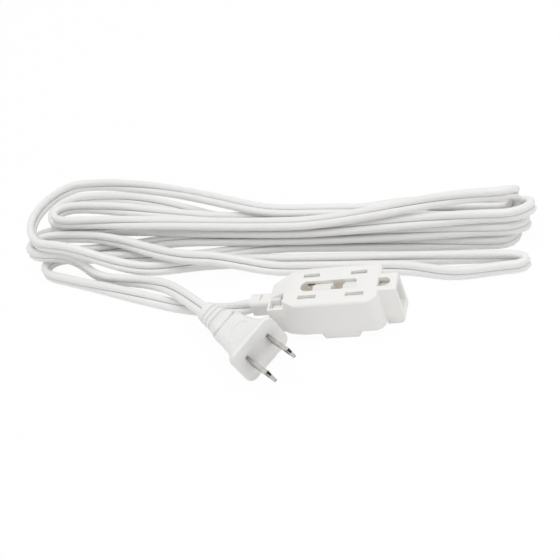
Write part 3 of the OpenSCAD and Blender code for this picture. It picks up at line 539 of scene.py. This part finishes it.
def taper_tip(mesh, place):
    """Thins a blade's tip and cuts back its corners; place is the plug's own axes."""
    shape = bmesh.new()
    shape.from_mesh(mesh)
    shape.transform(place.inverted())
    bmesh.ops.triangulate(shape, faces=shape.faces)
    tip = max(vert.co.x for vert in shape.verts)
    for start, thin, narrow in ((tip - COINED, 0.45, 0.5), (tip - 0.5 * MM, 0.35, 0.3)):
        bmesh.ops.bisect_plane(shape, geom=[*shape.verts, *shape.edges, *shape.faces], dist=1e-7,
                               plane_co=(start, 0, 0), plane_no=(1, 0, 0))
        middle = math.copysign(BLADE_Y, sum(vert.co.y for vert in shape.verts))
        for vert in shape.verts:
            t = max(0.0, (vert.co.x - start) / (tip - start))
            vert.co.y += (middle - vert.co.y) * thin * t
            vert.co.z -= vert.co.z * narrow * t
    shape.transform(place)
    shape.to_mesh(mesh)
    shape.free()
    mesh.set_sharp_from_angle(angle=math.radians(12))


# ---- cord route ----

def smooth(t):
    """Eases from 0 to 1."""
    t = max(0.0, min(1.0, t))
    return t * t * (3 - 2 * t)


def window(t, start, end):
    """Eases from 0 to 1 between start and end."""
    return smooth((t - start) / (end - start))


def run_points(name, way, steps):
    """Points (u, v, w, lean) of one run of the hank, laid one way or the other."""
    left, waist, right, left_share, right_share = RUNS[name][:5]
    bend = RUNS[name][5] if len(RUNS[name]) > 5 else (0, 1, 0)
    points = []
    for i in range(steps + 1):
        u = left[0] + (right[0] - left[0]) * i / steps
        far, share = (left, left_share) if u < WAIST_U else (right, right_share)
        t = (WAIST_U - u) / (WAIST_U - far[0])
        v = waist[0] + (far[1] - waist[0]) * window(t, share[0], share[1])
        v += bend[2] * smooth(1 - abs(u - bend[0]) / bend[1])
        w = waist[1] + (far[2] - waist[1]) * window(t, share[2], share[3])
        rise = smooth(t) ** (4 if u < WAIST_U else 2)
        points.append((u, v, w, waist[2] + (90 - waist[2]) * rise))
    if way < 0:
        points = [(u, v, w, 180 - lean) for u, v, w, lean in reversed(points)]
    return points


def fold_points(start, end, reach, steps, climb_from, climb_to):
    """Points of the half turn between two runs."""
    points = []
    for i in range(1, steps):
        s = i / steps
        angle = math.pi * s
        u = start[0] + (end[0] - start[0]) * s + (reach - (start[0] + end[0]) / 2) * math.sin(angle)
        v = start[1] + (end[1] - start[1]) * (1 - math.cos(angle)) / 2
        w = start[2] + (end[2] - start[2]) * window(s, climb_from, climb_to)
        points.append((u, v, w, 90))
    return points


def hank_route(run_steps, fold_steps):
    """The wound part of the cord, in metres, from the plug's end to the tap's end."""
    runs = [run_points(name, way, run_steps) for name, way, *_ in WINDING]
    points = []
    for i, (name, way, reach, climb_from, climb_to) in enumerate(WINDING):
        points += runs[i]
        if reach is not None:
            wide = abs(runs[i][-1][1] - runs[i + 1][0][1])
            steps = fold_steps + int(wide / 4)
            points += fold_points(runs[i][-1], runs[i + 1][0], reach, steps, climb_from, climb_to)
    yaw = math.radians(HANK_YAW)
    return [((HANK_AT[0] + u * math.cos(yaw) - v * math.sin(yaw)) * MM,
             (HANK_AT[1] + u * math.sin(yaw) + v * math.cos(yaw)) * MM, w * MM, lean)
            for u, v, w, lean in points]


def even_route(points, step):
    """The same route on a smooth curve, with a point every step."""
    ends = [points[0], *points, points[-1]]
    dense = []
    for a, b, c, d in zip(ends, ends[1:], ends[2:], ends[3:]):
        span = math.dist(b[:3], c[:3])
        parts = max(1, int(span / step * 3))
        for k in range(parts):
            t = k / parts
            dense.append(tuple(0.5 * (2 * b[n] + (c[n] - a[n]) * t
                                      + (2 * a[n] - 5 * b[n] + 4 * c[n] - d[n]) * t * t
                                      + (3 * b[n] - 3 * c[n] + d[n] - a[n]) * t ** 3)
                               for n in range(4)))
    dense.append(tuple(points[-1]))
    total = sum(math.dist(p[:3], q[:3]) for p, q in zip(dense, dense[1:]))
    count = round(total / step)
    even, gone, target = [dense[0]], 0.0, total / count
    for p, q in zip(dense, dense[1:]):
        span = math.dist(p[:3], q[:3])
        while span > 0 and gone + span >= target * len(even) - 1e-12 and len(even) < count:
            t = (target * len(even) - gone) / span
            even.append(tuple(p[n] + (q[n] - p[n]) * t for n in range(4)))
        gone += span
    even.append(dense[-1])
    return even


def relaxed(points, rounds):
    """Takes small kinks out of a route and keeps its two ends."""
    for _ in range(rounds):
        points = ([points[0], points[1]]
                  + [tuple((a[n] + 2 * b[n] + c[n]) / 4 for n in range(4))
                     for a, b, c in zip(points[1:], points[2:], points[3:])]
                  + [points[-1]])
    return points


def plug_matrix():
    """Place of the plug's own axes: blades along X, width along Y."""
    return (Matrix.Translation(PLUG_FACE) @ Matrix.Rotation(math.radians(PLUG_YAW), 4, "Z")
            @ Matrix.Rotation(math.radians(PLUG_ROLL), 4, "X"))


def whole_route(sizes):
    """The cord's centreline from the plug's boot through the hank to the tap."""
    boot = plug_matrix() @ Vector((-PLUG_LENGTH, 0, 0))
    before = plug_matrix() @ Vector((-PLUG_LENGTH - 0.0066, 0, 0))
    plug_side = [(*boot, PLUG_ROLL), (*before, PLUG_ROLL)] + [
        tuple(p) for p in reversed(PLUG_ROUTE)]
    tap_side = [tuple(p) for p in TAP_ROUTE] + [(*TAP_EXIT, 90)]
    hank = hank_route(sizes.run_steps, sizes.fold_steps)
    turned = [(x, y, z, 180 - lean) for x, y, z, lean in plug_side]
    return relaxed(even_route(turned + hank + tap_side, 0.003), 2)


def cord_section(sizes):
    """Outline of the flat twin cord: two round cores joined by a grooved web."""
    radius = sizes.thickness / 2
    centre = sizes.width / 2 - radius
    end = math.acos((0.00015 - centre) / radius)
    angles = [end * (2 * k / (CORE_POINTS - 1) - 1) for k in range(CORE_POINTS)]
    half = [(centre + radius * math.cos(a), radius * math.sin(a)) for a in angles]
    waist = radius - sizes.groove
    return [*half, (0.0, waist)] + [(-x, -y) for x, y in half] + [(0.0, -waist)]


def cord_rings(route, outline):
    """The outline set square to the route at each of its points, leaned as the cord leans."""
    rings = []
    for i, (x, y, z, lean) in enumerate(route):
        a, b = route[max(i - 1, 0)], route[min(i + 1, len(route) - 1)]
        ahead = (Vector(b[:3]) - Vector(a[:3])).normalized()
        side = Vector((0, 0, 1)).cross(ahead).normalized()
        angle = math.radians(lean)
        wide = side * math.cos(angle) + ahead.cross(side) * math.sin(angle)
        thick = ahead.cross(wide)
        rings.append([Vector((x, y, z)) + wide * s + thick * t for s, t in outline])
    return rings


# ---- plug form ----

def plug_half(sizes, x):
    """Half width and half height of the plug's flare at a depth behind its face, in mm."""
    rim, step = -2.8, -22.0
    face_w, face_t = sizes.face_width / 2 / MM - 0.8, sizes.face_height / 2 / MM - 0.8
    step_w = sizes.step_width / 2 / MM
    step_t = step_w * 0.766
    s = (x - rim) / (step - rim)
    return (step_w + (face_w - step_w) * (0.55 * (1 - s) + 0.45 * (1 - s) ** 3),
            step_t + (face_t - step_t) * (0.3 * (1 - s) + 0.7 * (1 - s) ** 3))


def plug_rows(sizes):
    """Half width, half height, corner radius and forward bow at each depth behind the face."""
    face_w, face_t = sizes.face_width / 2 / MM, sizes.face_height / 2 / MM
    boot_w = sizes.boot_width / 2 / MM
    tall = sizes.boot_height / sizes.boot_width
    rows = [(0, face_w - 0.5, face_t - 0.5, 3.6, 0), (-0.15, face_w - 0.2, face_t - 0.2, 3.8, 0),
            (-0.5, face_w, face_t, 4, 0), (-2.1, face_w, face_t, 4, 0),
            (-2.4, face_w - 0.15, face_t - 0.15, 4, 0)]
    for i in range(25):
        s = i / 24
        x = -2.8 - 19.2 * s
        rows.append((x, *plug_half(sizes, x), 4 + s * 0.4, 3 * smooth((s - 0.25) / 0.75)))
    step_w, step_t = plug_half(sizes, -22.0)
    rows += [(-22.15, step_w - 0.3, step_t - 0.35, 4.2, 3), (-22.35, step_w - 1.5, step_t - 1.55, 3.6, 3),
             (-23.1, step_w - 1.7, step_t - 1.75, 3.6, 3), (-23.6, step_w - 1.4, step_t - 1.4, 3.7, 2.9),
             (-23.75, step_w - 0.5, step_t - 0.5, 4, 2.9), (-23.95, step_w - 0.4, step_t - 0.4, 4, 2.8),
             (-26.6, boot_w + 0.45, boot_w * tall + 0.1, 3.9, 1.2)]
    for i in range(3):
        groove = -28.7 - i * 3.2
        for back, sunk, corner in ((0, 0, 3.5), (0.1, 0.12, 3.4), (0.2, 1.4, 2.6), (0.55, 1.6, 2.5),
                                   (0.9, 1.4, 2.6), (1.0, 0.12, 3.4), (1.1, 0.03, 3.5)):
            width = boot_w + 0.108 * (groove - back + 28)
            rows.append((groove - back, width - sunk, width * tall - sunk, corner, 0))
    rows += [(-39.6, boot_w - 1.35, boot_w * tall - 1.1, 3.4, 0),
             (-40.2, boot_w - 1.7, boot_w * tall - 1.45, 3.2, 0),
             (-40.5, boot_w - 2, boot_w * tall - 1.85, 3, 0)]
    return rows


def rounded_outline(width, height, radius, count=9):
    """Points round a rectangle with round corners, from its half sizes."""
    r = min(radius, width - 0.01, height - 0.01)
    points = []
    for cx, cy, start in ((1, 1, 0), (-1, 1, 90), (-1, -1, 180), (1, -1, 270)):
        for i in range(count):
            a = math.radians(start + 90 * i / (count - 1))
            points.append((cx * (width - r) + r * math.cos(a), cy * (height - r) + r * math.sin(a)))
    return points


# ---- operators ----

class CORD_OT_stage(bpy.types.Operator):
    """Set up the camera, the floor and the studio light"""

    bl_idname = "extension_cord.stage"
    bl_label = "Stage"

    def execute(self, context):
        scene = context.scene
        data = bpy.data.cameras.new("view_camera")
        data.sensor_width = 36
        data.lens = 91.42
        data.clip_start, data.clip_end = 0.01, 20
        camera = bpy.data.objects.new("view_camera", data)
        scene.collection.objects.link(camera)
        across = Vector((0.9321, 0.2026, -0.3008)).normalized()
        towards = Vector((0.3558, -0.6720, 0.6494)).normalized()
        upward = towards.cross(across).normalized()
        across = upward.cross(towards)
        turn = Matrix((across, upward, towards)).transposed().to_4x4()
        camera.matrix_world = Matrix.Translation((0.1984, -0.4063, 0.4184)) @ turn
        scene.camera = camera
        scene.view_settings.view_transform = "Standard"
        self.make_floor(scene)
        self.make_light(scene)
        return {"FINISHED"}

    def make_floor(self, scene):
        shape = bmesh.new()
        bmesh.ops.create_grid(shape, x_segments=2, y_segments=2, size=3.0,
                              matrix=Matrix.Translation((0, 0, -0.00002)))
        mesh = bpy.data.meshes.new("studio_floor")
        shape.to_mesh(mesh)
        shape.free()
        floor = bpy.data.objects.new("studio_floor", mesh)
        scene.collection.objects.link(floor)
        paper = bpy.data.materials.new("white_paper")
        paper.use_nodes = True
        tree = paper.node_tree
        shader = tree.nodes["Principled BSDF"]
        shader.inputs["Base Color"].default_value = (1, 1, 1, 1)
        shader.inputs["Roughness"].default_value = 0.9
        glow = add(tree, "ShaderNodeEmission")
        glow.inputs["Strength"].default_value = 1.0
        glow.inputs["Color"].default_value = (1, 1, 1, 1)
        share = add(tree, "ShaderNodeMath", operation="MULTIPLY")
        share.inputs[1].default_value = 0.96
        tree.links.new(seen_rays(tree), share.inputs[0])
        mix = tree.nodes.new("ShaderNodeMixShader")
        tree.links.new(share.outputs[0], mix.inputs[0])
        tree.links.new(shader.outputs[0], mix.inputs[1])
        tree.links.new(glow.outputs[0], mix.inputs[2])
        tree.links.new(mix.outputs[0], tree.nodes["Material Output"].inputs["Surface"])
        mesh.materials.append(paper)

    def make_light(self, scene):
        world = bpy.data.worlds.new("studio")
        scene.world = world
        world.use_nodes = True
        tree = world.node_tree
        tree.nodes.clear()
        strength = spread(tree, seen_rays(tree), 0, 1, 0.56, 1.0)
        back = tree.nodes.new("ShaderNodeBackground")
        back.inputs["Color"].default_value = (1, 1, 1, 1)
        tree.links.new(strength, back.inputs["Strength"])
        end = tree.nodes.new("ShaderNodeOutputWorld")
        tree.links.new(back.outputs[0], end.inputs["Surface"])
        for name, place, aim, size, power in (
                ("overhead_lamp", (0.1, 0.05, 1.1), (-0.02, 0.03, 0), 0.9, 5.3),
                ("right_lamp", (0.9, -0.3, 0.5), (-0.02, 0.0, 0), 0.6, 0.4)):
            data = bpy.data.lights.new(name, "AREA")
            data.shape = "SQUARE"
            data.size = size
            data.energy = power
            lamp = bpy.data.objects.new(name, data)
            lamp.location = place
            away = Vector(place) - Vector(aim)
            lamp.rotation_mode = "QUATERNION"
            lamp.rotation_quaternion = away.to_track_quat("Z", "Y")
            scene.collection.objects.link(lamp)


class CORD_OT_flat_cord(bpy.types.Operator):
    """Make the flat twin cord, from the plug through the hank to the tap"""

    bl_idname = "extension_cord.flat_cord"
    bl_label = "Flat cord"

    def execute(self, context):
        sizes = context.scene.cord_sizes
        colours = context.scene.cord_colours
        route = whole_route(sizes)
        gone = [0.0]
        for p, q in zip(route, route[1:]):
            gone.append(gone[-1] + math.dist(p[:3], q[:3]))
        rings = cord_rings(route, cord_section(sizes))
        mesh = tube(rings, "flat_cord", closed_uv=gone)
        cord = finish_piece("flat_cord", mesh, "tap", cord_jacket(colours), "white_cord",
                            "cord_hank", "plug_lead", "tap_lead")
        print("cord length", round(gone[-1], 4))
        return {"FINISHED"}


class CORD_OT_tap_covers(bpy.types.Operator):
    """Dress the tap's two covers"""

    bl_idname = "extension_cord.tap_covers"
    bl_label = "Tap covers"

    def execute(self, context):
        colours = context.scene.cord_colours
        edge = context.scene.mould_sizes.edge
        white = plastic("white_cover", colours.cover, 0.3, mottle=0.2)
        for node in ("tap_top_cover", "tap_bottom_cover"):
            mesh = rounded_copy(node, node + "_moulded", edge)
            if node == "tap_bottom_cover":
                add_latch_head(mesh, edge)
            finish_piece(node + "_moulded", mesh, "tap", white, "white_cover", node)
        return {"FINISHED"}


class CORD_OT_shutter(bpy.types.Operator):
    """Dress the sliding tamper guard"""

    bl_idname = "extension_cord.shutter"
    bl_label = "Tamper guard"

    def execute(self, context):
        colours = context.scene.cord_colours
        edge = context.scene.mould_sizes.edge
        inner = plastic("white_guard", colours.guard, 0.4, mottle=0.2)
        mesh = rounded_copy("shutter_plate", "shutter_moulded", edge * 0.6)
        finish_piece("shutter_moulded", mesh, "shutter", inner, "white_guard", "shutter_plate")
        return {"FINISHED"}


class CORD_OT_strain_relief(bpy.types.Operator):
    """Dress the strain relief of the tap"""

    bl_idname = "extension_cord.strain_relief"
    bl_label = "Strain relief"

    def execute(self, context):
        colours = context.scene.cord_colours
        edge = context.scene.mould_sizes.edge
        mould = plastic("white_mould", colours.cover, 0.36, mottle=0.25)
        mesh = rounded_copy("cord_grip", "cord_grip_moulded", edge * 1.3)
        finish_piece("cord_grip_moulded", mesh, "tap", mould, "white_mould", "cord_grip")
        return {"FINISHED"}


class CORD_OT_plug(bpy.types.Operator):
    """Make the overmoulded plug and dress its blades"""

    bl_idname = "extension_cord.plug"
    bl_label = "Plug"

    def execute(self, context):
        colours = context.scene.cord_colours
        sizes = context.scene.mould_sizes
        place = plug_matrix()
        rings = [[place @ Vector(((x + bow * ((p[1] / height) ** 2 - 0.5)) * MM, p[0] * MM, p[1] * MM))
                  for p in rounded_outline(width, height, radius)]
                 for x, width, height, radius, bow in plug_rows(sizes)]
        mesh = tube(rings, "plug_moulded")
        mould = plastic("plug_mould", colours.mould, 0.34, mottle=0.25, Subsurface_Weight=0.2,
                        Subsurface_Scale=0.0008)
        finish_piece("plug_moulded", mesh, "tap", mould, "white_mould", "plug_body")
        oval = []
        for i in range(64):
            a = math.tau * i / 64
            x = -10 + 4.8 * math.cos(a)
            bow = 1.5 * smooth(((x + 2.8) / -19.2 - 0.25) / 0.75)
            high = plug_half(sizes, x - bow)[1] - 0.1
            oval.append(place @ Vector((x * MM, 5.8 * math.sin(a) * MM, high * MM)))
        finish_piece("plug_label_rim", ring_piece(oval, 0.00028, "plug_label_rim"), "tap", mould,
                     "white_mould")
        silver = blade_metal(colours, place)
        # Near black metal: painted shade on the hole's wall and a painted dark reflection on the coined slopes
        # of the tip.
        painted_dark_metal = metal("painted_shade_and_reflection", tuple(c * 0.09 for c in colours.blade), 0.5)
        for node in ("blade_hot", "blade_neutral"):
            mesh = rounded_copy(node, node + "_pressed", sizes.edge * 0.8)
            taper_tip(mesh, place)
            finish_piece(node + "_pressed", mesh, "tap", silver, "blade_metal", node)
            mesh.materials.append(painted_dark_metal)
            self.paint_hole_shade_and_tip_reflection(mesh, place)
        return {"FINISHED"}

    def paint_hole_shade_and_tip_reflection(self, mesh, place):
        """Gives the hole's wall painted shade and the coined slopes of the tip a painted dark reflection, both
        as a near black rough metal.
        """
        local = place.inverted()
        tip = max((local @ vert.co).x for vert in mesh.vertices)
        for face in mesh.polygons:
            centre = local @ face.center
            across = local.to_3x3() @ face.normal
            in_hole = math.hypot(centre.x - HOLE_X, centre.z) < HOLE_R + 0.0002
            on_slope = tip - COINED < centre.x < tip - 0.6 * MM and 0.2 < across.x < 0.95
            if abs(across.y) < 0.9 and (in_hole or on_slope):
                face.material_index = 1


class CORD_OT_inner_parts(bpy.types.Operator):
    """Finish the insulator, the contacts and the inner wires"""

    bl_idname = "extension_cord.inner_parts"
    bl_label = "Inner parts"

    def execute(self, context):
        colours = context.scene.cord_colours
        tan = plastic("tan_insulator", colours.carrier, 0.5, mottle=0.4)
        brass = metal("brass_strip", colours.brass, 0.28)
        copper = metal("copper_strand", colours.copper, 0.3)
        inner = plastic("inner_white", colours.guard, 0.45)
        wire = plastic("wire_white", colours.jacket, 0.35)
        finishes = {
            "contact_carrier": tan, "contact_hot": brass, "contact_neutral": brass,
            "tap_wire_hot": wire, "tap_wire_neutral": wire, "plug_wire_hot": wire,
            "plug_wire_neutral": wire, "tap_strand_hot": copper, "tap_strand_neutral": copper,
            "plug_strand_hot": copper, "plug_strand_neutral": copper, "blade_holder": inner,
        }
        for node, finish in finishes.items():
            slots = NODES[node].material_slots
            if not slots:
                raise RuntimeError(node + " has no material slot")
            for slot in slots:
                slot.link = "OBJECT"
                slot.material = finish
        return {"FINISHED"}


class CORD_PT_panel(bpy.types.Panel):
    """Lists the steps that build the extension cord"""

    bl_idname = "CORD_PT_panel"
    bl_label = "Extension Cord"
    bl_space_type = "VIEW_3D"
    bl_region_type = "UI"
    bl_category = "Extension Cord"

    def draw(self, context):
        for group in ("cord_sizes", "mould_sizes", "cord_colours"):
            settings = getattr(context.scene, group)
            box = self.layout.box()
            for name in settings.bl_rna.properties.keys():
                if name not in {"rna_type", "name"}:
                    box.prop(settings, name)
        for operator in STEPS:
            self.layout.operator(operator.bl_idname)


STEPS = (CORD_OT_stage, CORD_OT_flat_cord, CORD_OT_tap_covers, CORD_OT_shutter,
         CORD_OT_strain_relief, CORD_OT_plug, CORD_OT_inner_parts)
GROUPS = {"cord_sizes": CordSizes, "mould_sizes": MouldSizes, "cord_colours": FinishColours}


def register():
    for group in GROUPS.values():
        bpy.utils.register_class(group)
    for name, group in GROUPS.items():
        setattr(bpy.types.Scene, name, PointerProperty(type=group))
    for step in STEPS:
        bpy.utils.register_class(step)
    bpy.utils.register_class(CORD_PT_panel)


def unregister():
    bpy.utils.unregister_class(CORD_PT_panel)
    for step in reversed(STEPS):
        bpy.utils.unregister_class(step)
    for name in GROUPS:
        delattr(bpy.types.Scene, name)
    for group in GROUPS.values():
        bpy.utils.unregister_class(group)


def main():
    """Builds everything in order."""
    register()
    moulded_surface_group()
    brushed_metal_group()
    for step in STEPS:
        getattr(bpy.ops.extension_cord, step.bl_idname.split(".")[1])()


if __name__ == "__main__":
    main()
